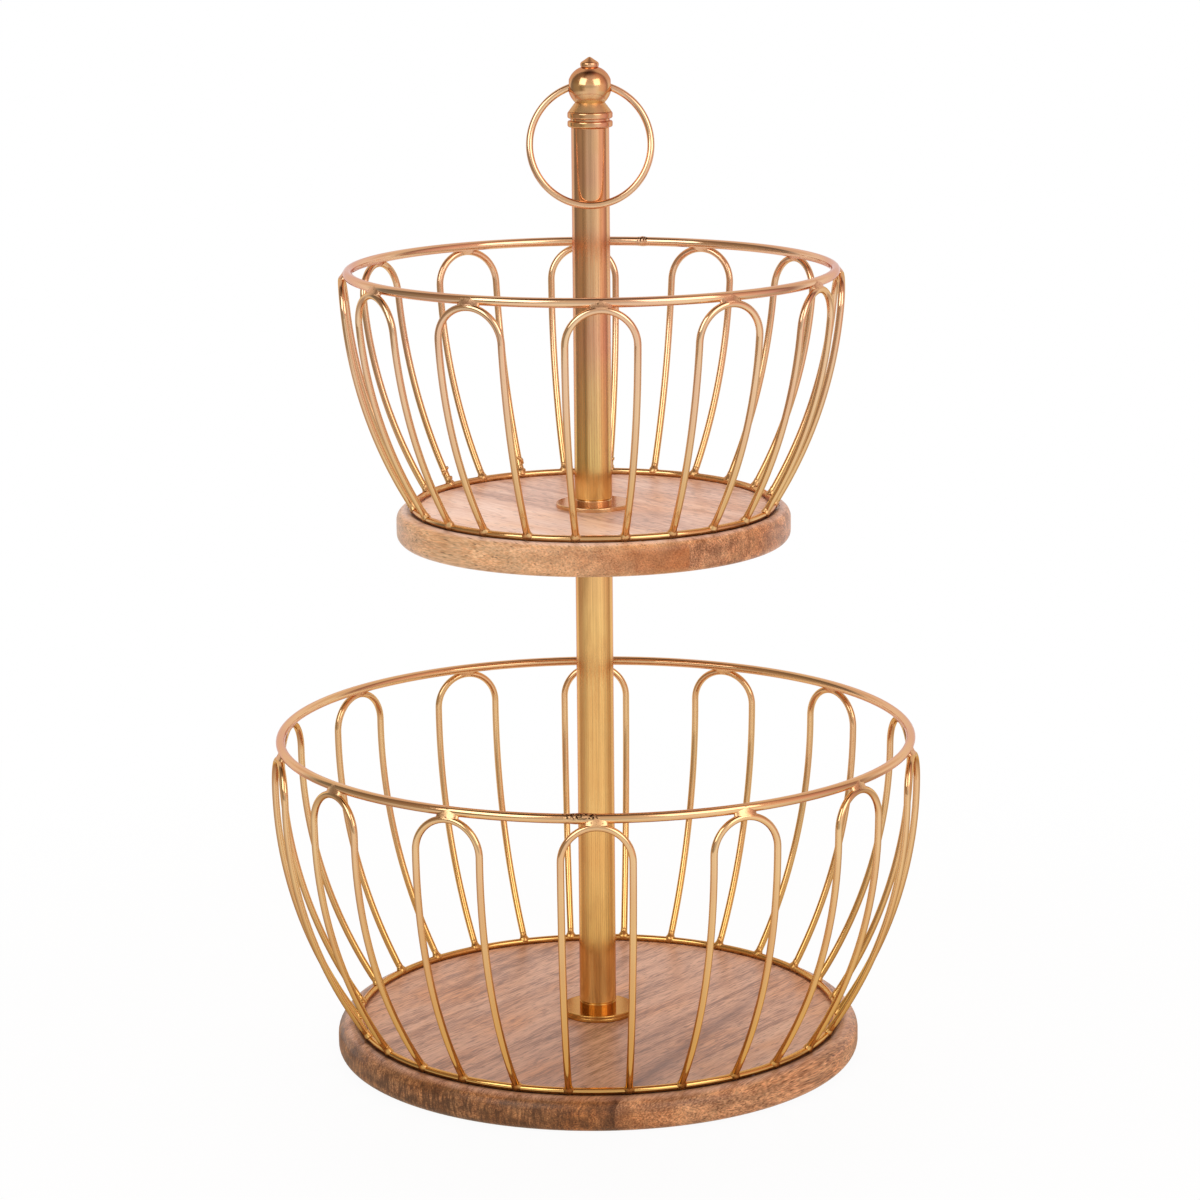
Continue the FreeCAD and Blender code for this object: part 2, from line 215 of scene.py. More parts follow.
# Light that the floor and the room send to the stand. Places round it: 0.5 is straight in front, 0.75 to the
# right and 0 or 1 behind. Places upwards: 0 is straight down, 0.5 level and 1 straight up. Places under the
# stand are metres from the post. A plain number is a grey.
FLOOR_ROUND = [
    (0.0, 1.0), (1.0, 1.0), (0.15, 1.0), (0.19, "#BEB0AC"), (0.25, "#C4B6B3"), (0.33, 0.7), (0.4, 0.95),
    (0.5, 0.92), (0.55, 0.95), (0.6, 1.0), (0.64, 1.0), (0.67, 0.85), (0.75, "#D0C2B8"), (0.8, "#C6B6AC"),
    (0.845, 1.0)]
FLOOR_UNDER_STAND = [(0.12, "#F0E0CA"), (0.42, 1.0)]
ROOM_ROUND = [
    (0.0, 1.0), (1.0, 1.0), (0.15, 1.0), (0.185, 0.22), (0.25, "#9E9284"), (0.33, "#AEA090"),
    (0.37, "#8E867A"), (0.415, "#CCC2B4"), (0.44, 0.85), (0.53, 0.85), (0.57, 1.0), (0.62, 1.0),
    (0.66, "#F8DCD2"), (0.7, "#F4D2CA"), (0.75, "#DDB9BA"), (0.79, "#A08480"), (0.83, 1.0)]
ROOM_UPWARD = [(0.0, 1.0), (1.0, "#B09A90"), (0.55, 1.0), (0.68, "#DCC8BE"), (0.85, "#C0A89E")]
MIRRORED_UPWARD = [
    (0.0, 1.0), (1.0, "#4A3A32"), (0.55, 1.0), (0.68, "#EADACF"), (0.9, "#E4D2C6"), (0.945, "#D4C0B2"),
    (0.978, "#8A746A")]
FRONT_WALL = [
    (0.0, 1.0), (1.0, 1.0), (0.35, 1.0), (0.42, 0.68), (0.52, 0.66), (0.565, 0.76), (0.61, 1.0)]


def linear(hex_colour):
    """sRGB hex to a linear colour with full alpha."""
    channels = []
    for start in (1, 3, 5):
        value = int(hex_colour[start:start + 2], 16) / 255
        channels.append(value / 12.92 if value <= 0.04045 else ((value + 0.055) / 1.055) ** 2.4)
    return (*channels, 1.0)


def add_node(tree, kind, inputs=None, stops=(), **settings):
    """Add one shader node, set its options and fill its inputs with values or links."""
    made = tree.nodes.new("ShaderNode" + kind)
    for name, value in settings.items():
        setattr(made, name, value)
    for name, value in (inputs or {}).items():
        sockets = [s for s in made.inputs if s.enabled]
        socket = sockets[name] if isinstance(name, int) else next(s for s in sockets if s.name == name)
        if isinstance(value, bpy.types.Node):
            value = next(s for s in value.outputs if s.enabled)
        if isinstance(value, bpy.types.NodeSocket):
            tree.links.new(value, socket)
        else:
            socket.default_value = value
    for i, (place, colour) in enumerate(stops):
        elements = made.color_ramp.elements
        stop = elements[i] if i < 2 else elements.new(place)
        stop.position = place
        stop.color = linear(colour) if isinstance(colour, str) else (colour, colour, colour, 1.0)
    return made


def start_material(name):
    """Empty node material and its tree."""
    material = bpy.data.materials.new(name)
    material.use_nodes = True
    material.node_tree.nodes.clear()
    return material, material.node_tree


def millimetres(tree, turn=0.0):
    """Object position in mm, turned about Z in degrees."""
    place = add_node(tree, "TexCoord").outputs["Object"]
    return add_node(tree, "Mapping", {"Vector": place, "Scale": (1 / MM, 1 / MM, 1 / MM),
                                      "Rotation": (0, 0, math.radians(-turn))})


def figure(tree, place, size_mm, detail, distortion=0.0):
    """Cloudy pattern with features of the given size in mm on each axis of the place."""
    spot = add_node(tree, "VectorMath", {0: place, 1: size_mm}, operation="DIVIDE")
    return add_node(tree, "TexNoise", {"Vector": spot, "Scale": 1.0, "Detail": detail,
                                       "Distortion": distortion})


def per_plank(tree, board, nearer, key):
    """A number that differs between the two planks of a board."""
    return add_node(tree, "MapRange", {"Value": nearer, "To Min": board["far"][key],
                                       "To Max": board["near"][key]})


def grown_wood(tree, board, plank, nearer, bands, fibres):
    """Sawn mango wood: growth bands and fibres from dark to light in each plank, with broad golden clouds."""
    tone = add_node(tree, "Math", {0: bands, 1: BAND_SHARE}, operation="MULTIPLY")
    tone = add_node(tree, "Math", {0: fibres, 1: 1 - BAND_SHARE, 2: tone}, operation="MULTIPLY_ADD")
    tone = add_node(tree, "MapRange", {"Value": tone, "From Min": 0.39, "From Max": 0.61})
    woods = []
    for dark, middle, light in (board["far"]["wood"], board["near"]["wood"]):
        woods.append(add_node(tree, "ValToRGB", {"Fac": tone}, [(0.0, dark), (1.0, light), (0.45, middle)]))
    wood = add_node(tree, "Mix", {"Factor": nearer, "A": woods[0], "B": woods[1]}, data_type="RGBA")
    clouds = figure(tree, plank, CLOUD_MM, 2.0)
    golden = add_node(tree, "MapRange", {"Value": clouds, "From Min": 0.48, "From Max": 0.7, "To Max": 0.6})
    return add_node(tree, "Mix", {"Factor": golden, "A": wood, "B": linear(board["gold"])}, data_type="RGBA",
                    blend_type="MULTIPLY")


def dark_streak(tree, wood, along, across, bands, middle_mm, lean, half_mm, end_mm):
    """Soft dark streak of heartwood that leans a little from the grain and fades out along it."""
    middle = add_node(tree, "Math", {0: along, 1: lean, 2: middle_mm}, operation="MULTIPLY_ADD")
    off = add_node(tree, "Math", {0: across, 1: middle}, operation="SUBTRACT")
    off = add_node(tree, "Math", {0: off}, operation="ABSOLUTE")
    dark = add_node(tree, "MapRange", {"Value": off, "From Max": half_mm, "To Min": 1.0, "To Max": 0.0})
    ragged = add_node(tree, "MapRange", {"Value": bands, "From Min": 0.35, "From Max": 0.6, "To Min": 0.4})
    dark = add_node(tree, "Math", {0: dark, 1: ragged}, operation="MULTIPLY")
    fade = add_node(tree, "MapRange", {"Value": along, "From Min": end_mm - STREAK_FADE_MM,
                                       "From Max": end_mm, "To Min": 1.0, "To Max": 0.0})
    dark = add_node(tree, "Math", {0: dark, 1: fade}, operation="MULTIPLY")
    return add_node(tree, "Mix", {"Factor": dark, "A": wood, "B": linear(STREAK_TINT)}, data_type="RGBA",
                    blend_type="MULTIPLY")


def open_pores(tree, board, plank, nearer, bands, rim):
    """Where the open pores are: dashes about 4 mm long, gathered in drifts and on the turned rim, and drawn
    0.4 mm wide so that they show."""
    spot = add_node(tree, "VectorMath", {0: plank, 1: PORE_MM}, operation="DIVIDE")
    cells = add_node(tree, "TexVoronoi", {"Vector": spot, "Scale": 1.0})
    pores = per_plank(tree, board, nearer, "pores")
    rim_pores = per_plank(tree, board, nearer, "rim_pores")
    drift = add_node(tree, "Math", {0: bands, 1: cells.outputs["Color"], 2: pores}, operation="MULTIPLY_ADD")
    drift = add_node(tree, "Math", {0: rim, 1: rim_pores, 2: drift}, operation="MULTIPLY_ADD")
    sparse = add_node(tree, "MapRange", {"Value": drift, "From Min": 0.27, "From Max": 0.33})
    dash = add_node(tree, "MapRange", {"Value": cells.outputs["Distance"], "From Min": 0.16, "From Max": 0.34,
                                       "To Min": 1.0, "To Max": 0.0})
    return add_node(tree, "Math", {0: sparse, 1: dash}, operation="MULTIPLY")


def turned_rim(tree, board, wood, plank, nearer, rim, ends):
    """Turned rim of a board: deeper, mottled and blotched, and darkest where the fibres end in it and drink
    oil."""
    edge = add_node(tree, "Mix", {"Factor": nearer, "A": linear(board["far"]["edge"]),
                                  "B": linear(board["near"]["edge"])}, data_type="RGBA")
    wood = add_node(tree, "Mix", {"Factor": rim, "A": wood, "B": edge}, data_type="RGBA",
                    blend_type="MULTIPLY")
    mottle = add_node(tree, "MapRange", {"Value": figure(tree, plank, MOTTLE_MM, 2.0, 0.4), "From Min": 0.36,
                                         "From Max": 0.62, "To Min": -1.0, "To Max": 1.0})
    mottle = add_node(tree, "Math", {0: mottle, 1: per_plank(tree, board, nearer, "mottle"), 2: 1.0},
                      operation="MULTIPLY_ADD")
    wood = add_node(tree, "Mix", {"Factor": rim, "A": wood, "B": mottle}, data_type="RGBA",
                    blend_type="MULTIPLY")
    blotch = add_node(tree, "MapRange", {"Value": figure(tree, plank, BLOTCH_MM, 2.0, 0.6), "From Min": 0.4,
                                         "From Max": 0.6, "To Min": per_plank(tree, board, nearer, "blotch"),
                                         "To Max": 1.15})
    wood = add_node(tree, "Mix", {"Factor": rim, "A": wood, "B": blotch}, data_type="RGBA",
                    blend_type="MULTIPLY")
    deeper = add_node(tree, "Math", {0: ends, 1: per_plank(tree, board, nearer, "ends")},
                      operation="MULTIPLY", use_clamp=True)
    wood = add_node(tree, "Mix", {"Factor": deeper, "A": wood, "B": linear(END_GRAIN_TINT)}, data_type="RGBA",
                    blend_type="MULTIPLY")
    strokes = add_node(tree, "MapRange", {"Value": figure(tree, plank, STROKE_MM, 4.0, 0.6), "From Min": 0.4,
                                          "From Max": 0.6, "To Min": 1.0, "To Max": 0.0})
    soaked = add_node(tree, "Math", {0: ends, 1: strokes}, operation="MULTIPLY")
    soaked = add_node(tree, "Math", {0: soaked, 1: per_plank(tree, board, nearer, "soak")},
                      operation="MULTIPLY")
    return add_node(tree, "Mix", {"Factor": soaked, "A": wood, "B": linear(SOAKED_BROWN)}, data_type="RGBA")


def painted_ring_shadow(tree, wood, along, across, facing, ring_node):
    """Painted shadow of the wire ring: a dark line on a board's top, along the outside of the ring."""
    ring_r, wire = [size / MM for size in ring_sizes(ring_node)[:2]]
    level = add_node(tree, "CombineXYZ", {0: along, 1: across})
    radius = add_node(tree, "VectorMath", {0: level}, operation="LENGTH").outputs["Value"]
    # The ring's shadow is painted darkest just outside the wire and fades outwards.
    oil = add_node(tree, "MapRange", {"Value": radius, "From Min": ring_r + RING_SHADOW_FROM * wire,
                                      "From Max": ring_r + RING_SHADOW_TO * wire, "To Min": 0.8, "To Max": 0.0})
    outside = add_node(tree, "Math", {0: radius, 1: ring_r}, operation="GREATER_THAN")
    above = add_node(tree, "Math", {0: facing, 1: outside}, operation="MULTIPLY", use_clamp=True)
    oil = add_node(tree, "Math", {0: oil, 1: above}, operation="MULTIPLY")
    return add_node(tree, "Mix", {"Factor": oil, "A": wood, "B": linear(RING_SHADOW_BROWN)}, data_type="RGBA")


def mango_wood(name, board):
    """Mango wood, glued from two planks, turned, sanded and oiled: brown and rosy streaks along the grain,
    short dark pores, golden clouds, a change of colour at the glue line, a deeper, mottled rim, a painted
    shadow of the wire ring along its outside and a soft gloss."""
    material, tree = start_material(name)
    place = add_node(tree, "SeparateXYZ", {0: millimetres(tree, board["grain_angle"])})
    along, across, up = place.outputs

    # The near plank takes its figure from elsewhere in the tree.
    nearer = add_node(tree, "Math", {0: across, 1: board["seam_mm"]}, operation="LESS_THAN")
    jump = add_node(tree, "VectorMath", {0: NEAR_PLANK_JUMP, "Scale": nearer}, operation="SCALE")
    plank = add_node(tree, "CombineXYZ", {0: along, 1: across, 2: up})
    plank = add_node(tree, "VectorMath", {0: plank, 1: jump})
    plank = add_node(tree, "VectorMath", {0: plank, 1: (board["seed"],) * 3})
    bands = figure(tree, plank, BAND_MM, 3.0, 0.8)
    fibres = figure(tree, plank, FIBRE_MM, 3.0, 0.5)
    wood = grown_wood(tree, board, plank, nearer, bands, fibres)
    if board["streak"]:
        wood = dark_streak(tree, wood, along, across, bands, **board["streak"])

    # The rim is 1 where the board curves down, and the ends are 1 where the fibres end in it.
    normal = add_node(tree, "NewGeometry").outputs["Normal"]
    facing = add_node(tree, "SeparateXYZ", {0: normal}).outputs["Z"]
    rim = add_node(tree, "MapRange", {"Value": facing, "From Min": 0.985, "From Max": 0.75})
    turn = math.radians(board["grain_angle"])
    fibre_way = (math.cos(turn), math.sin(turn), 0.0)
    ends = add_node(tree, "VectorMath", {0: normal, 1: fibre_way}, operation="DOT_PRODUCT").outputs["Value"]
    ends = add_node(tree, "Math", {0: ends, 1: 2.0}, operation="POWER")

    pores = open_pores(tree, board, plank, nearer, bands, rim)
    dark = add_node(tree, "MapRange", {"Value": ends, "To Min": 0.66, "To Max": 0.2})
    dark = add_node(tree, "Math", {0: pores, 1: dark}, operation="MULTIPLY")
    wood = add_node(tree, "Mix", {"Factor": dark, "A": wood, "B": linear(PORE_BROWN)}, data_type="RGBA")
    wood = turned_rim(tree, board, wood, plank, nearer, rim, ends)
    # The wire ring's shadow on the board is painted in as a dark line.
    wood = painted_ring_shadow(tree, wood, along, across, facing, board["ring"])

    rough = add_node(tree, "MapRange", {"Value": fibres, "From Min": 0.3, "From Max": 0.7,
                                        "To Min": 0.3, "To Max": 0.44})
    relief = add_node(tree, "Math", {0: fibres, 1: pores}, operation="SUBTRACT")
    bump = add_node(tree, "Bump", {"Height": relief, "Strength": 0.25, "Distance": 0.12 * MM})
    shader = add_node(tree, "BsdfPrincipled", {"Base Color": wood, "Roughness": rough, "IOR": 1.5,
                                               "Specular IOR Level": 0.35, "Normal": bump})
    add_node(tree, "OutputMaterial", {"Surface": shader})
    return material


def plated_colour(tree, bright, warm, patch_mm):
    """Brass plate that drifts between two golds in patches."""
    patches = figure(tree, millimetres(tree), (patch_mm,) * 3, 2.0)
    return add_node(tree, "ValToRGB", {"Fac": patches}, [(0.36, bright), (0.66, warm)])


def above_board(tree):
    """Height in mm above the board that a piece stands on."""
    height = add_node(tree, "SeparateXYZ", {0: millimetres(tree)}).outputs["Z"]
    lower_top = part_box("base_board")[1].z / MM
    upper_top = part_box("upper_board")[1].z / MM
    upper_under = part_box("upper_board")[0].z / MM
    on_upper = add_node(tree, "Math", {0: height, 1: upper_under}, operation="GREATER_THAN")
    board = add_node(tree, "MapRange", {"Value": on_upper, "To Min": lower_top, "To Max": upper_top})
    return add_node(tree, "Math", {0: height, 1: board}, operation="SUBTRACT")


def wire_colour(tree, patch_mm):
    """Plate of the wire and its welds: rosier on the upper basket, and a deeper gold towards each board that
    is painted shade.
    """
    height = add_node(tree, "SeparateXYZ", {0: millimetres(tree)}).outputs["Z"]
    tier = add_node(tree, "MapRange", {"Value": height, "From Min": WIRE_TURNS[0], "From Max": WIRE_TURNS[1]})
    # The deeper gold near each board is painted shade.
    foot = add_node(tree, "MapRange", {"Value": above_board(tree), "From Min": WIRE_FOOT_SHADE[0],
                                       "From Max": WIRE_FOOT_SHADE[1]}, interpolation_type="SMOOTHSTEP")
    lower = plated_colour(tree, "#EDC488", "#E9BA82", patch_mm)
    lower = add_node(tree, "Mix", {"Factor": foot, "A": linear("#DFB26B"), "B": lower}, data_type="RGBA")
    upper = plated_colour(tree, "#F0CAA0", "#EBBF9C", patch_mm)
    upper = add_node(tree, "Mix", {"Factor": foot, "A": linear("#E6BC84"), "B": upper}, data_type="RGBA")
    return add_node(tree, "Mix", {"Factor": tier, "A": lower, "B": upper}, data_type="RGBA")


def brass_wire(name, edge):
    """Drawn steel wire, brass plated and lacquered: bright gold with clear streaks of light, another tone
    where the lacquer is seen on the slant."""
    material, tree = start_material(name)
    colour = wire_colour(tree, WIRE_PATCH_MM)
    grain = figure(tree, millimetres(tree), WIRE_GRAIN_MM, 2.0)
    rough = add_node(tree, "MapRange", {"Value": grain, "From Min": 0.3, "From Max": 0.7,
                                        "To Min": 0.09, "To Max": 0.14})
    shader = add_node(tree, "BsdfPrincipled", {"Base Color": colour, "Metallic": 1.0, "Roughness": rough,
                                               "Specular Tint": linear(edge)})
    add_node(tree, "OutputMaterial", {"Surface": shader})
    return material


def brass_weld(name, scorched):
    """Weld metal plated with the wire: uneven lumps with burnt brown specks on top, more of them the more it
    was scorched."""
    material, tree = start_material(name)
    colour = wire_colour(tree, WELD_PATCH_MM)
    specks = figure(tree, millimetres(tree), SPECK_MM, 3.0)
    burnt = add_node(tree, "MapRange", {"Value": specks, "From Min": 0.64 - scorched,
                                        "From Max": 0.7 - scorched})
    normal = add_node(tree, "NewGeometry").outputs["Normal"]
    facing = add_node(tree, "SeparateXYZ", {0: normal}).outputs["Z"]
    upper_half = add_node(tree, "MapRange", {"Value": facing, "From Min": -0.1, "From Max": 0.3})
    burnt = add_node(tree, "Math", {0: burnt, 1: upper_half}, operation="MULTIPLY")
    colour = add_node(tree, "Mix", {"Factor": burnt, "A": colour, "B": linear(BURNT_BROWN)}, data_type="RGBA")
    rough = add_node(tree, "MapRange", {"Value": specks, "To Min": 0.2, "To Max": 0.42})
    bump = add_node(tree, "Bump", {"Height": specks, "Strength": 0.15, "Distance": 0.2 * MM})
    shader = add_node(tree, "BsdfPrincipled", {"Base Color": colour, "Metallic": 1.0, "Roughness": rough,
                                               "Specular Tint": linear(EDGE_ROSE), "Normal": bump})
    add_node(tree, "OutputMaterial", {"Surface": shader})
    return material


def lathe_rings(tree):
    """Wave of fine rings in a short band above the foot of the lower tube."""
    height = add_node(tree, "SeparateXYZ", {0: millimetres(tree)}).outputs["Z"]
    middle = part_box("lower_tube")[0].z / MM + LATHE_RINGS_ABOVE_FOOT
    band = add_node(tree, "Math", {0: height, 1: middle, 2: LATHE_RINGS_HALF}, operation="COMPARE")
    wave = add_node(tree, "Math", {0: height, 1: 2 * math.pi / LATHE_RINGS_PITCH}, operation="MULTIPLY")
    rings = add_node(tree, "Math", {0: wave}, operation="SINE")
    return add_node(tree, "Math", {0: rings, 1: band}, operation="MULTIPLY")


def brass_tube(name):
    """Welded steel tube, brass plated, brushed along its length and lacquered: fine upright lines, slight
    smears, a rosier upper length, yellower feet where a painted tone stands in for the shade of the board
    they mirror, and a few rings left by the lathe just above the lower foot."""
    material, tree = start_material(name)
    height = add_node(tree, "SeparateXYZ", {0: millimetres(tree)}).outputs["Z"]
    tier = add_node(tree, "MapRange", {"Value": height, "From Min": TUBE_TURNS[0], "From Max": TUBE_TURNS[1]})
    lower = plated_colour(tree, "#F2C37C", "#EBB670", TUBE_PATCH_MM)
    upper = plated_colour(tree, "#E9B988", "#E4AC86", TUBE_PATCH_MM)
    colour = add_node(tree, "Mix", {"Factor": tier, "A": lower, "B": upper}, data_type="RGBA")
    # The yellower tone near each board is painted shade of the board that the tube mirrors.
    foot = add_node(tree, "MapRange", {"Value": above_board(tree), "From Min": TUBE_FOOT_SHADE[0],
                                       "From Max": TUBE_FOOT_SHADE[1]})
    colour = add_node(tree, "Mix", {"Factor": foot, "A": linear("#E5C27A"), "B": colour}, data_type="RGBA")
    lines = figure(tree, millimetres(tree), BRUSH_MM, 3.0)
    brushed = add_node(tree, "MapRange", {"Value": lines, "From Min": 0.32, "From Max": 0.62,
                                          "To Min": 0.88, "To Max": 1.08})
    colour = add_node(tree, "Mix", {"Factor": 1.0, "A": colour, "B": brushed}, data_type="RGBA",
                      blend_type="MULTIPLY")
    smears = figure(tree, millimetres(tree), SMEAR_MM, 4.0)
    worn = add_node(tree, "MapRange", {"Value": smears, "From Min": 0.5, "From Max": 0.8, "To Max": 0.25})
    colour = add_node(tree, "Mix", {"Factor": worn, "A": colour, "B": linear(WORN_BRASS)}, data_type="RGBA")
    rough = add_node(tree, "MapRange", {"Value": smears, "From Min": 0.3, "From Max": 0.7,
                                        "To Min": 0.12, "To Max": 0.19})
    relief = add_node(tree, "Math", {0: lathe_rings(tree), 1: 0.6, 2: lines}, operation="MULTIPLY_ADD")
    bump = add_node(tree, "Bump", {"Height": relief, "Strength": 0.15, "Distance": 0.06 * MM})
    shader = add_node(tree, "BsdfPrincipled", {"Base Color": colour, "Metallic": 1.0, "Roughness": rough,
                                               "Specular Tint": linear(EDGE_ROSE), "Normal": bump})
    add_node(tree, "OutputMaterial", {"Surface": shader})
    return material


def polished_brass(name, bright, warm, edge, hollow=None):
    """Turned, brass plated and polished: clear reflections with faint lathe rings, rosy at its edges. In a
    hollow between two heights in mm the plate is satin, with a paler tone that is a painted reflection of the
    soft boxes."""
    material, tree = start_material(name)
    colour = plated_colour(tree, bright, warm, TURNED_PATCH_MM)
    turning = figure(tree, millimetres(tree), LATHE_MM, 3.0)
    rough = add_node(tree, "MapRange", {"Value": turning, "To Min": 0.1, "To Max": 0.24})
    if hollow:
        low, high = hollow
        height = add_node(tree, "SeparateXYZ", {0: millimetres(tree)}).outputs["Z"]
        inside = add_node(tree, "Math", {0: height, 1: (low + high) / 2, 2: (high - low) / 2},
                          operation="COMPARE")
        # The paler tone in the hollow is a painted reflection.
        colour = add_node(tree, "Mix", {"Factor": inside, "A": colour, "B": linear(NECK_PAINTED_REFLECTION)},
                          data_type="RGBA")
        rough = add_node(tree, "MapRange", {"Value": inside, "To Min": rough, "To Max": 0.34})
    bump = add_node(tree, "Bump", {"Height": turning, "Strength": 0.1, "Distance": 0.05 * MM})
    shader = add_node(tree, "BsdfPrincipled", {"Base Color": colour, "Metallic": 1.0, "Roughness": rough,
                                               "Specular Tint": linear(edge), "Normal": bump})
    add_node(tree, "OutputMaterial", {"Surface": shader})
    return material


def zinc_plated_steel(name):
    """Zinc-plated steel of the hidden fastenings: grey, slightly blue, with a crystalline mottle."""
    material, tree = start_material(name)
    spot = add_node(tree, "VectorMath", {0: millimetres(tree), 1: SPANGLE_MM}, operation="DIVIDE")
    spangle = add_node(tree, "TexVoronoi", {"Vector": spot, "Scale": 1.0}).outputs["Distance"]
    colour = add_node(tree, "ValToRGB", {"Fac": spangle}, [(0.1, "#B4B8BC"), (0.8, "#9A9DA1")])
    rough = add_node(tree, "MapRange", {"Value": spangle, "To Min": 0.3, "To Max": 0.5})
    shader = add_node(tree, "BsdfPrincipled", {"Base Color": colour, "Metallic": 1.0, "Roughness": rough})
    add_node(tree, "OutputMaterial", {"Surface": shader})
    return material


def dress_nodes():
    """Give every solid of the frame the finish of its material slot; the flanges are polished plates."""
    finial_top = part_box("finial")[1].z / MM
    under_ball = (finial_top - HOLLOW_FROM, finial_top - HOLLOW_TO)
    lower_plate = polished_brass("brass_plated_polished_lower_plate", "#D2A55C", "#CD9D56", EDGE_ROSE)
    upper_plate = polished_brass("brass_plated_polished_upper_plate", "#EBCB98", "#E7BF90", EDGE_ROSE)
    rim_wire = brass_wire("brass_plated_rim_wire", EDGE_ROSE)
    finishes = {
        "mango_wood_base": mango_wood("mango_wood_oiled_brown", BASE_BOARD),
        "mango_wood_upper": mango_wood("mango_wood_oiled_pale", UPPER_BOARD),
        "brass_wire": brass_wire("brass_plated_wire", EDGE_DEEP),
        "brass_weld": brass_weld("brass_plated_weld", 0.0),
        "brass_tube": brass_tube("brass_plated_brushed_tube"),
        "brass_finial": polished_brass("brass_plated_polished", "#E4B882", "#E0AA86", EDGE_FINIAL,
                                       under_ball),
        "brass_handle": brass_wire("brass_plated_handle_wire", EDGE_ROSE),
        "zinc_steel": zinc_plated_steel("zinc_plated_steel"),
    }
    for part in frame["record"]["subparts"]:
        mesh = nodes[part["node"]].data
        mesh.materials.clear()
        finish = finishes[part["material_slot"]]
        if part["node"] in LOWER_PLATES:
            finish = lower_plate
        elif part["node"] in UPPER_PLATES:
            finish = upper_plate
        elif part["node"] in RIMS:
            finish = rim_wire
        mesh.materials.append(finish)
    return finishes


def add_piece(name, shape, finish, body="stand", stands_for=()):
    """Turn a finished bmesh into a smooth piece that rides on a body."""
    bmesh.ops.recalc_face_normals(shape, faces=shape.faces)
    mesh = bpy.data.meshes.new(name)
    shape.to_mesh(mesh)
    shape.free()
    mesh.shade_smooth()
    mesh.materials.append(finish)
    piece = bpy.data.objects.new(name, mesh)
    bpy.context.scene.collection.objects.link(piece)
    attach(piece, body)
    if stands_for:
        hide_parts(*stands_for)


def add_skin(shape, rings):
    """Join rings of points into a closed skin, with a fan over each end."""
    loops = [[shape.verts.new(point) for point in ring] for ring in rings]
    for low, high in zip(loops, loops[1:]):
        for i in range(len(low)):
            j = (i + 1) % len(low)
            shape.faces.new((low[i], low[j], high[j], high[i]))
    for loop in (loops[0], loops[-1]):
        tip = shape.verts.new(sum((v.co for v in loop), Vector()) / len(loop))
        for i in range(len(loop)):
            shape.faces.new((loop[i], loop[(i + 1) % len(loop)], tip))


def wobble(point, size_mm, amount):
    """Small uneven factor around 1, the same on every run."""
    return 1.0 + amount * noise.noise(point / (size_mm * MM))


def ring_sizes(node):
    """Radius of a ring's centre line, its wire radius and its centre height, from its box."""
    low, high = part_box(node)
    wire = (high.z - low.z) / 2
    return (high.x - low.x) / 2 - wire, wire, (high.z + low.z) / 2


def hoop_places(node, ring_node):
    """Arch top of a hoop and, for each leg, where it meets the ring and which way it rises."""
    ring_r, wire, ring_z = ring_sizes(ring_node)
    points = [v.co for v in nodes[node].data.vertices]
    high = max(p.z for p in points)
    top = [p for p in points if p.z > high - TOP_SLICE * MM]
    top = sum(top, Vector()) / len(top) - Vector((0, 0, wire))
    outward = Vector((top.x, top.y, 0)).normalized()
    sideways = Vector((-outward.y, outward.x, 0))
    legs = []
    for side in (-1, 1):
        leg = [p for p in points if p.dot(sideways) * side > 0]
        low = min(p.z for p in leg)
        end = [p for p in leg if p.z < low + FOOT_SLICE * MM]
        end = sum(end, Vector()) / len(end)
        foot = Vector((end.x, end.y, 0)).normalized() * ring_r
        foot.z = ring_z
        above = [p for p in leg if low + LEAN_SLICE[0] * MM < p.z < low + LEAN_SLICE[1] * MM]
        rise = (sum(above, Vector()) / len(above) - foot).normalized()
        legs.append((foot, rise))
    return top, outward, sideways, legs, wire


def add_foot_weld(shape, foot, rise, wire):
    """Flared lump of weld metal where a leg stands on its ring, drawn out along the ring."""
    along = Vector((-foot.y, foot.x, 0)).normalized()
    across = rise.cross(along).normalized()
    bump_mm, bump_share = FOOT_BUMPS
    rings = []
    for k in range(FOOT_WELD_STEPS + 1):
        s = (-FOOT_WELD_SINK + (FOOT_WELD_SINK + FOOT_WELD_RISE) * k / FOOT_WELD_STEPS) * MM
        swell = math.exp(-(max(0.0, s / MM - FOOT_WELD_FLAT) / FOOT_WELD_FADE) ** 2)
        radius = FOOT_WELD_INNER * wire + FOOT_WELD_PROUD * MM * swell
        if s < 0:
            radius *= math.sqrt(max(FOOT_WELD_TIP, 1 - (s / (FOOT_WELD_SINK * MM)) ** 2))
        spread = 1 + (FOOT_WELD_SPREAD - 1) * swell
        ring = []
        for i in range(FOOT_WELD_SIDES):
            angle = 2 * math.pi * i / FOOT_WELD_SIDES
            offset = along * math.cos(angle) * spread + across * math.sin(angle)
            point = foot + rise * s + offset * radius
            ring.append(foot + rise * s + offset * radius * wobble(point, bump_mm, bump_share * swell))
        rings.append(ring)
    add_skin(shape, rings)


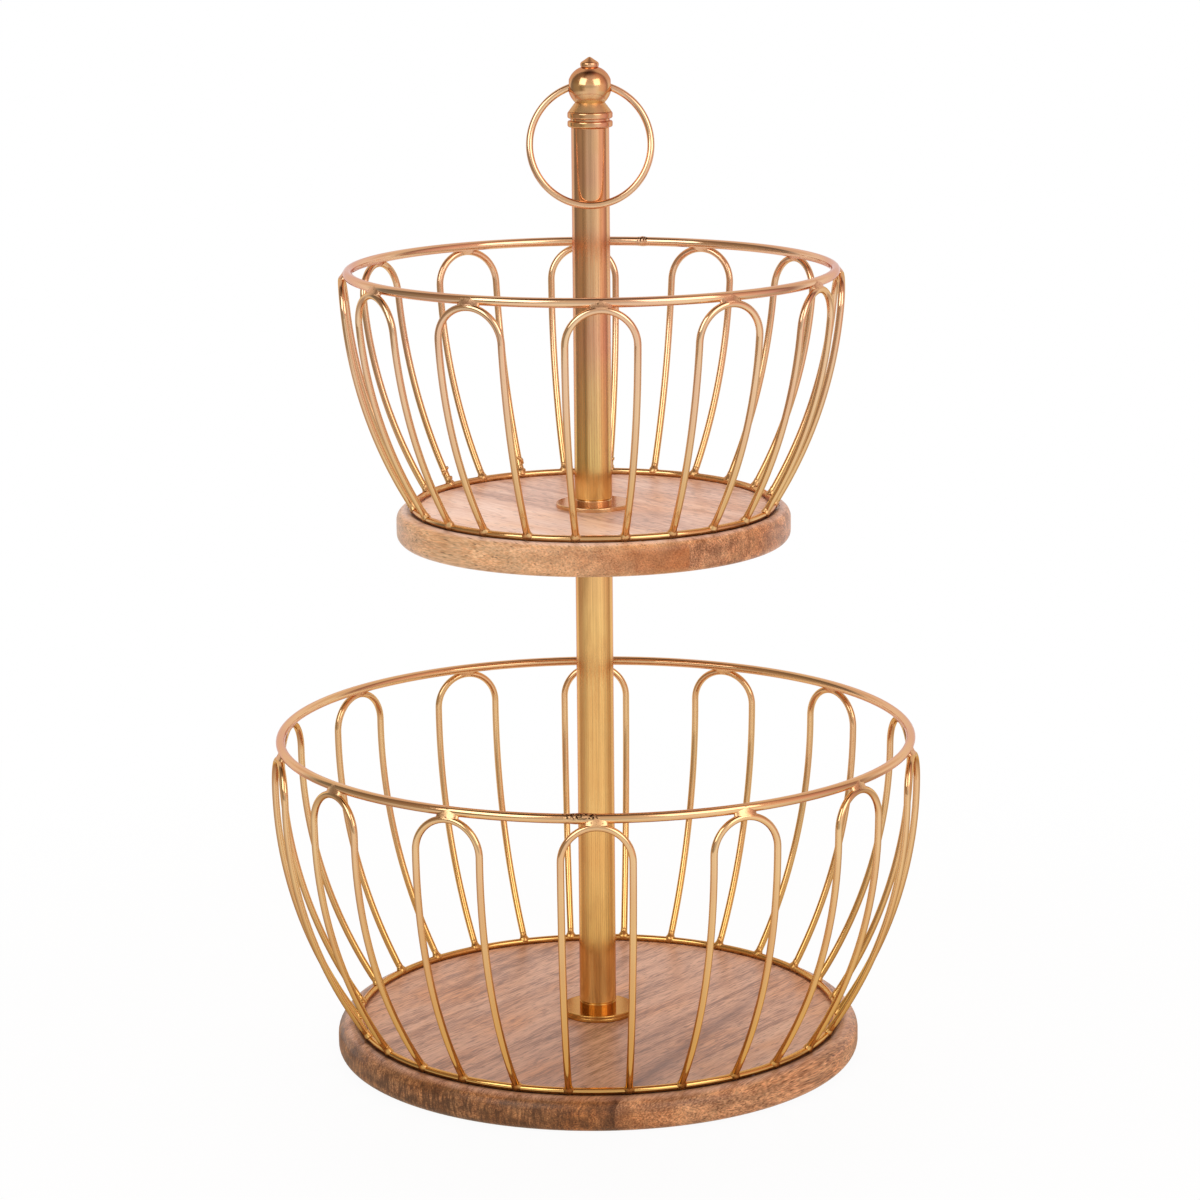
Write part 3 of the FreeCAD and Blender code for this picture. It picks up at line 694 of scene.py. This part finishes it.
def add_rim_weld(shape, top, outward, sideways, rim_node, wire):
    """Fillet of weld metal that fills the gap between an arch and the rim above it, flush with both."""
    rim_r, rim_wire, rim_z = ring_sizes(rim_node)
    rim_centre = outward * rim_r + Vector((0, 0, rim_z))
    towards = (rim_centre - top).normalized()
    level = sideways.cross(towards).normalized()
    rings = []
    for k in range(RIM_WELD_STEPS + 1):
        t = -1 + 2 * k / RIM_WELD_STEPS
        s = t * RIM_WELD_HALF * MM
        fullness = max(RIM_WELD_TIP, math.sqrt(1 - t * t))
        rim = rim_centre + sideways * s
        arch = top + sideways * s - towards * s * s / (2 * ARCH_BEND_MM * MM)
        front = []
        back = []
        for share, flush in RIM_WELD_PROFILE:
            spot = rim + (arch - rim) * share
            depth = (rim_wire + (wire - rim_wire) * share) * flush * fullness * wobble(spot, *RIM_BUMPS)
            front.append(spot + level * depth)
            back.append(spot - level * depth)
        rings.append(front + back[::-1])
    add_skin(shape, rings)


def add_butt_weld(shape, rim_node, azimuth, half_mm):
    """Low, uneven collar where the two ends of a rim wire were butted and welded."""
    rim_r, wire, rim_z = ring_sizes(rim_node)
    rings = []
    for k in range(BUTT_WELD_STEPS + 1):
        t = -1 + 2 * k / BUTT_WELD_STEPS
        turn = math.radians(azimuth) + t * half_mm * MM / rim_r
        out = Vector((math.sin(turn), -math.cos(turn), 0))
        centre = out * rim_r + Vector((0, 0, rim_z))
        radius = wire * BUTT_WELD_INNER + BUTT_WELD_PROUD * MM * math.exp(-(BUTT_WELD_PEAK * t) ** 2)
        ring = []
        for i in range(BUTT_WELD_SIDES):
            angle = 2 * math.pi * i / BUTT_WELD_SIDES
            offset = out * math.cos(angle) + Vector((0, 0, math.sin(angle)))
            ring.append(centre + offset * radius * wobble(centre + offset * radius, *BUTT_BUMPS))
        rings.append(ring)
    add_skin(shape, rings)


def add_spatter(shape, foot, rise, wire, dice):
    """Uneven drops of weld metal that ran up one leg."""
    along = Vector((-foot.y, foot.x, 0)).normalized()
    across = rise.cross(along).normalized()
    for _ in range(SPATTER_COUNT):
        s = dice.uniform(SPATTER_FROM, SPATTER_RISE) * MM
        angle = dice.uniform(0, 2 * math.pi)
        size = dice.uniform(*SPATTER_SIZE) * MM
        offset = (along * math.cos(angle) + across * math.sin(angle)) * wire * SPATTER_SEAT
        made = bmesh.ops.create_icosphere(shape, subdivisions=2, radius=size,
                                          matrix=Matrix.Translation(foot + rise * s + offset))
        for vert in made["verts"]:
            vert.co += (vert.co - foot - rise * s - offset) * (wobble(vert.co, *DROP_BUMPS) - 1)


def add_welds(tier, count, butt_azimuth, butt_half, finish):
    """Weld metal of one basket: a lump at each foot, a fillet under the rim at each arch, the rim's butt weld
    and, on a few hoops, spatter."""
    feet = bmesh.new()
    beads = bmesh.new()
    butt = bmesh.new()
    dice = random.Random(SPATTER_SEED)
    for i in range(count):
        hoop = "%s_hoop_%02d" % (tier, i + 1)
        top, outward, sideways, legs, wire = hoop_places(hoop, tier + "_ring")
        add_rim_weld(beads, top, outward, sideways, tier + "_rim", wire)
        for foot, rise in legs:
            add_foot_weld(feet, foot, rise, wire)
        if hoop in SPATTER_HOOPS:
            foot, rise = legs[0]
            add_spatter(feet, foot, rise, wire, dice)
    add_butt_weld(butt, tier + "_rim", butt_azimuth, butt_half)
    add_piece(tier + "_foot_weld_lumps", feet, finish, stands_for=[tier + "_foot_welds"])
    add_piece(tier + "_rim_weld_beads", beads, finish, stands_for=[tier + "_rim_welds"])
    scorched = brass_weld("brass_plated_%s_scorched_weld" % tier, SCORCHED)
    add_piece(tier + "_rim_butt_weld", butt, scorched)


def round_ramp(tree, place, stops):
    """Colours round the stand: 0.5 is straight in front, 0.75 to the right and 0 or 1 behind."""
    way = add_node(tree, "SeparateXYZ", {0: place})
    front = add_node(tree, "Math", {0: way.outputs["Y"], 1: -1.0}, operation="MULTIPLY")
    azimuth = add_node(tree, "Math", {0: way.outputs["X"], 1: front}, operation="ARCTAN2")
    turn = add_node(tree, "MapRange", {"Value": azimuth, "From Min": -math.pi, "From Max": math.pi})
    return add_node(tree, "ValToRGB", {"Fac": turn}, stops)


def floor_paper():
    """White paper that shows the stand's soft shadow and fades into the white backdrop. In the metal it is
    white behind the stand, and less brightly lit close under the stand and to the sides, out of the
    picture."""
    material, tree = start_material("white_floor_paper")
    place = add_node(tree, "TexCoord").outputs["Object"]
    reach = add_node(tree, "VectorMath", {0: place}, operation="LENGTH").outputs["Value"]
    fade = add_node(tree, "MapRange", {"Value": reach, "From Min": FLOOR_FADE[0], "From Max": FLOOR_FADE[1],
                                       "To Min": 0.95, "To Max": 1.0}, interpolation_type="SMOOTHSTEP")
    path = add_node(tree, "LightPath")
    seen = add_node(tree, "Math", {0: path.outputs["Is Camera Ray"], 1: path.outputs["Is Glossy Ray"]},
                    operation="MAXIMUM")
    seen = add_node(tree, "Math", {0: seen, 1: path.outputs["Is Transmission Ray"]}, operation="MAXIMUM")
    share = add_node(tree, "Math", {0: seen, 1: fade}, operation="MULTIPLY")
    lit = round_ramp(tree, place, FLOOR_ROUND)
    shade = add_node(tree, "ValToRGB", {"Fac": reach}, FLOOR_UNDER_STAND)
    lit = add_node(tree, "Mix", {"Factor": 1.0, "A": lit, "B": shade}, data_type="RGBA",
                   blend_type="MULTIPLY")
    colour = add_node(tree, "Mix", {"Factor": path.outputs["Is Camera Ray"], "A": lit, "B": WHITE},
                      data_type="RGBA")
    paper = add_node(tree, "BsdfDiffuse", {"Color": (FLOOR_WHITE, FLOOR_WHITE, FLOOR_WHITE, 1.0)})
    white = add_node(tree, "Emission", {"Color": colour, "Strength": 1.0})
    both = add_node(tree, "MixShader", {0: share, 1: paper, 2: white})
    add_node(tree, "OutputMaterial", {"Surface": both})
    return material


def white_floor():
    """Round white floor just below the stand."""
    shape = bmesh.new()
    bmesh.ops.create_circle(shape, cap_ends=True, segments=FLOOR_SIDES, radius=FLOOR_RADIUS)
    mesh = bpy.data.meshes.new("studio_floor")
    shape.to_mesh(mesh)
    shape.free()
    floor = bpy.data.objects.new("studio_floor", mesh)
    floor.location.z = -FLOOR_BELOW
    bpy.context.scene.collection.objects.link(floor)
    mesh.materials.append(floor_paper())


def studio_world():
    """White sweep behind and all round for the camera; what the metal sees in front is a dimmer, rosy studio
    with a dark ceiling."""
    world = bpy.data.worlds.new("studio")
    bpy.context.scene.world = world
    world.use_nodes = True
    tree = world.node_tree
    tree.nodes.clear()
    place = add_node(tree, "TexCoord").outputs["Generated"]
    way = add_node(tree, "SeparateXYZ", {0: place})
    path = add_node(tree, "LightPath")
    glossy = path.outputs["Is Glossy Ray"]
    height = add_node(tree, "MapRange", {"Value": way.outputs["Z"], "From Min": -1.0, "From Max": 1.0})
    upward = add_node(tree, "ValToRGB", {"Fac": height}, ROOM_UPWARD)
    dark_above = add_node(tree, "ValToRGB", {"Fac": height}, MIRRORED_UPWARD)
    upward = add_node(tree, "Mix", {"Factor": glossy, "A": upward, "B": dark_above}, data_type="RGBA")
    room = add_node(tree, "Mix", {"Factor": 1.0, "A": round_ramp(tree, place, ROOM_ROUND), "B": upward},
                    data_type="RGBA", blend_type="MULTIPLY")

    # In the metal the front wall is dim along the horizon, which only the top of the post mirrors.
    level = add_node(tree, "Math", {0: way.outputs["Z"]}, operation="ABSOLUTE")
    level = add_node(tree, "MapRange", {"Value": level, "From Min": 0.11, "From Max": 0.17,
                                        "To Min": 1.0, "To Max": 0.0})
    level = add_node(tree, "Math", {0: level, 1: glossy}, operation="MULTIPLY")
    wall = round_ramp(tree, place, FRONT_WALL)
    room = add_node(tree, "Mix", {"Factor": level, "A": room, "B": wall}, data_type="RGBA",
                    blend_type="MULTIPLY")

    # The camera sees white everywhere, and the metal sees it behind the stand.
    mirrored = add_node(tree, "Math", {0: glossy, 1: path.outputs["Is Transmission Ray"]},
                        operation="MAXIMUM")
    behind = add_node(tree, "MapRange", {"Value": way.outputs["Y"], "From Min": 0.7, "From Max": 0.85})
    mirrored = add_node(tree, "Math", {0: mirrored, 1: behind}, operation="MULTIPLY")
    seen = add_node(tree, "Math", {0: path.outputs["Is Camera Ray"], 1: mirrored}, operation="MAXIMUM")
    sweep = add_node(tree, "Mix", {"Factor": seen, "A": room, "B": WHITE}, data_type="RGBA")
    sky = add_node(tree, "Background", {"Color": sweep, "Strength": 1.0})
    add_node(tree, "OutputWorld", {"Surface": sky})


def soft_box(name, azimuth, height, distance, width, tall, power, colour, mirrored):
    """Large soft light that faces the middle of the stand; azimuth 0 is the front, positive to the right."""
    light = bpy.data.lights.new(name, "AREA")
    light.shape = "RECTANGLE"
    light.size = width
    light.size_y = tall
    light.energy = power
    light.color = linear(colour)[:3]
    box = bpy.data.objects.new(name, light)
    turn = math.radians(azimuth)
    box.location = (distance * math.sin(turn), -distance * math.cos(turn), height)
    aim = Vector((0, 0, AIM_HEIGHT)) - box.location
    box.rotation_euler = aim.to_track_quat("-Z", "Y").to_euler()
    box.visible_glossy = mirrored
    bpy.context.scene.collection.objects.link(box)


def photo_camera():
    """Camera at the photograph's place and angle."""
    camera = bpy.data.cameras.new("photo_camera")
    camera.lens = LENS_MM
    camera.sensor_width = SENSOR_MM
    view = bpy.data.objects.new("photo_camera", camera)
    tilt = Matrix.Rotation(math.radians(90 - CAMERA_DOWN), 4, "X")
    turn = Matrix.Rotation(math.radians(-CAMERA_RIGHT), 4, "Z")
    roll = Matrix.Rotation(math.radians(-CAMERA_ROLL), 4, "Z")
    view.matrix_world = Matrix.Translation((0, -CAMERA_BACK, CAMERA_HIGH)) @ turn @ tilt @ roll
    bpy.context.scene.collection.objects.link(view)
    bpy.context.scene.camera = view


finishes = dress_nodes()
add_welds("lower", LOWER_HOOPS, LOWER_BUTT_AZIMUTH, LOWER_BUTT_HALF, finishes["brass_weld"])
add_welds("upper", UPPER_HOOPS, UPPER_BUTT_AZIMUTH, UPPER_BUTT_HALF, finishes["brass_weld"])
white_floor()
studio_world()
for box in SOFT_BOXES:
    soft_box(**box)
photo_camera()
bpy.context.scene.view_settings.view_transform = "Standard"
